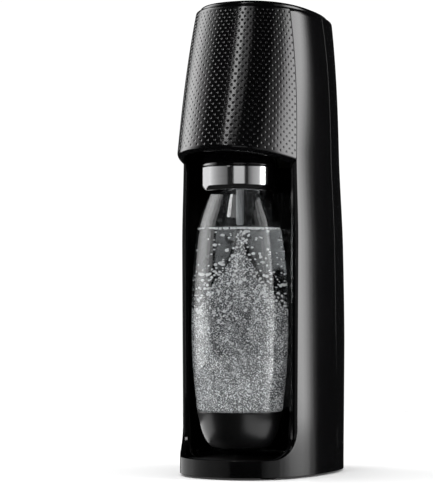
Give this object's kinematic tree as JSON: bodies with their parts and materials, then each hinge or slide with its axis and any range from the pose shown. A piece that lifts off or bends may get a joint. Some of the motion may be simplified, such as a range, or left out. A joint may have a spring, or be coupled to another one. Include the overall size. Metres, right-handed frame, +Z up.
{
  "type": "soda carbonator",
  "caption": "Slim free-standing manual soda carbonator: black tower with a dimpled head, full-top lid button, tilting holder with a clear bottle, and a gas cylinder behind.",
  "frame": {"origin": "bottom centre of the bounding box, at the underside of the feet", "axes": "+Z up, -Y the front with the bottle, +X to the right of someone facing the front"},
  "size_m": [0.1292, 0.1903, 0.425],
  "materials": {
    "gloss_black": "polished black ABS",
    "dimpled_black": "semi-gloss black ABS moulded with small round dimples",
    "satin_black": "satin black",
    "chrome_trim": "bright chrome",
    "steel": "plain steel",
    "brass": "machined",
    "rubber": "soft black",
    "cylinder_coating": "blue lacquered aluminium",
    "grey_tube": "light grey nylon",
    "clear_plastic": "clear PET"
  },
  "bodies": {
    "base": {"body_shell": "gloss_black", "bay_liner": "gloss_black", "base_plate": "satin_black", "chassis": "satin_black", "head_shell": "dimpled_black", "valve_block": "brass", "block_seal": "rubber", "cylinder_seat": "rubber", "lever_pivot_pin": "steel", "lid_pivot_pin": "steel", "holder_pin_left": "steel", "holder_pin_right": "steel", "lid_spring_left": "steel", "lid_spring_right": "steel", "valve_fitting": "brass", "gas_hose": "rubber", "foot_front_left": "rubber", "base_screw_front_left": "steel", "foot_front_right": "rubber", "base_screw_front_right": "steel", "foot_rear_left": "rubber", "base_screw_rear_left": "steel", "foot_rear_right": "rubber", "base_screw_rear_right": "steel", "head_screw_left": "steel", "head_screw_right": "steel"},
    "lid": {"lid_button": "gloss_black"},
    "lever": {"valve_lever": "steel"},
    "actuator": {"actuator_pin": "steel"},
    "valve_stem": {"valve_pin": "steel"},
    "cylinder": {"gas_cylinder": "cylinder_coating", "cylinder_valve": "brass"},
    "holder": {"bottle_holder": "gloss_black", "chrome_trim": "chrome_trim", "nozzle_body": "satin_black", "carbonating_tube": "grey_tube", "bottle_seal": "rubber", "relief_valve": "brass", "nozzle_fitting": "brass", "holder_claw_left": "satin_black", "holder_claw_right": "satin_black"},
    "bottle": {"bottle_body": "clear_plastic", "bottle_cup": "satin_black"},
    "cover": {"rear_cover": "gloss_black"},
    "release": {"rear_release_button": "satin_black"}
  },
  "joints": [
    {"name": "lid_press", "type": "hinge", "parent": "base", "child": "lid", "pos_m": [0, 0.055, 0.406], "axis": [1, 0, 0], "range_deg": [0, 2], "stiffness_Nm_per_rad": 12, "springref_deg": -1.15, "deforming": ["lid_spring_left", "lid_spring_right"]},
    {"name": "lever_rock", "type": "hinge", "parent": "base", "child": "lever", "pos_m": [0, 0.063, 0.403], "axis": [1, 0, 0], "range_deg": [0, 1.85]},
    {"name": "actuator_push", "type": "slide", "parent": "base", "child": "actuator", "axis": [0, 0, -1], "range_m": [0, 0.00045]},
    {"name": "cylinder_turn", "type": "hinge", "parent": "base", "child": "cylinder", "pos_m": [0, 0.049, 0.2], "axis": [0, 0, 1], "continuous": true},
    {"name": "valve_stem_push", "type": "slide", "parent": "cylinder", "child": "valve_stem", "axis": [0, 0, -1], "range_m": [0, 0.00045]},
    {"name": "holder_tilt", "type": "hinge", "parent": "base", "child": "holder", "pos_m": [0, -0.024, 0.3], "axis": [-1, 0, 0], "range_deg": [0, 10], "deforming": ["gas_hose"]},
    {"name": "bottle_release", "type": "slide", "parent": "holder", "child": "bottle", "axis": [0, 0, -1], "range_m": [0, 0.005]},
    {"name": "cover_tilt", "type": "hinge", "parent": "base", "child": "cover", "pos_m": [0, 0.0928, 0.0222], "axis": [-1, 0, 0], "range_deg": [0, 15]},
    {"name": "release_press", "type": "slide", "parent": "cover", "child": "release", "axis": [0, -1, 0], "range_m": [0, 0.0022], "stiffness_N_per_m": 800, "springref_m": -0.001}
  ],
  "couplings": [
    {"joint": "lever_rock", "follows": "lid_press", "ratio": 0.9},
    {"joint": "actuator_push", "follows": "lid_press", "m_per_rad": 0.0126},
    {"joint": "valve_stem_push", "follows": "lid_press", "m_per_rad": 0.0126}
  ]
}
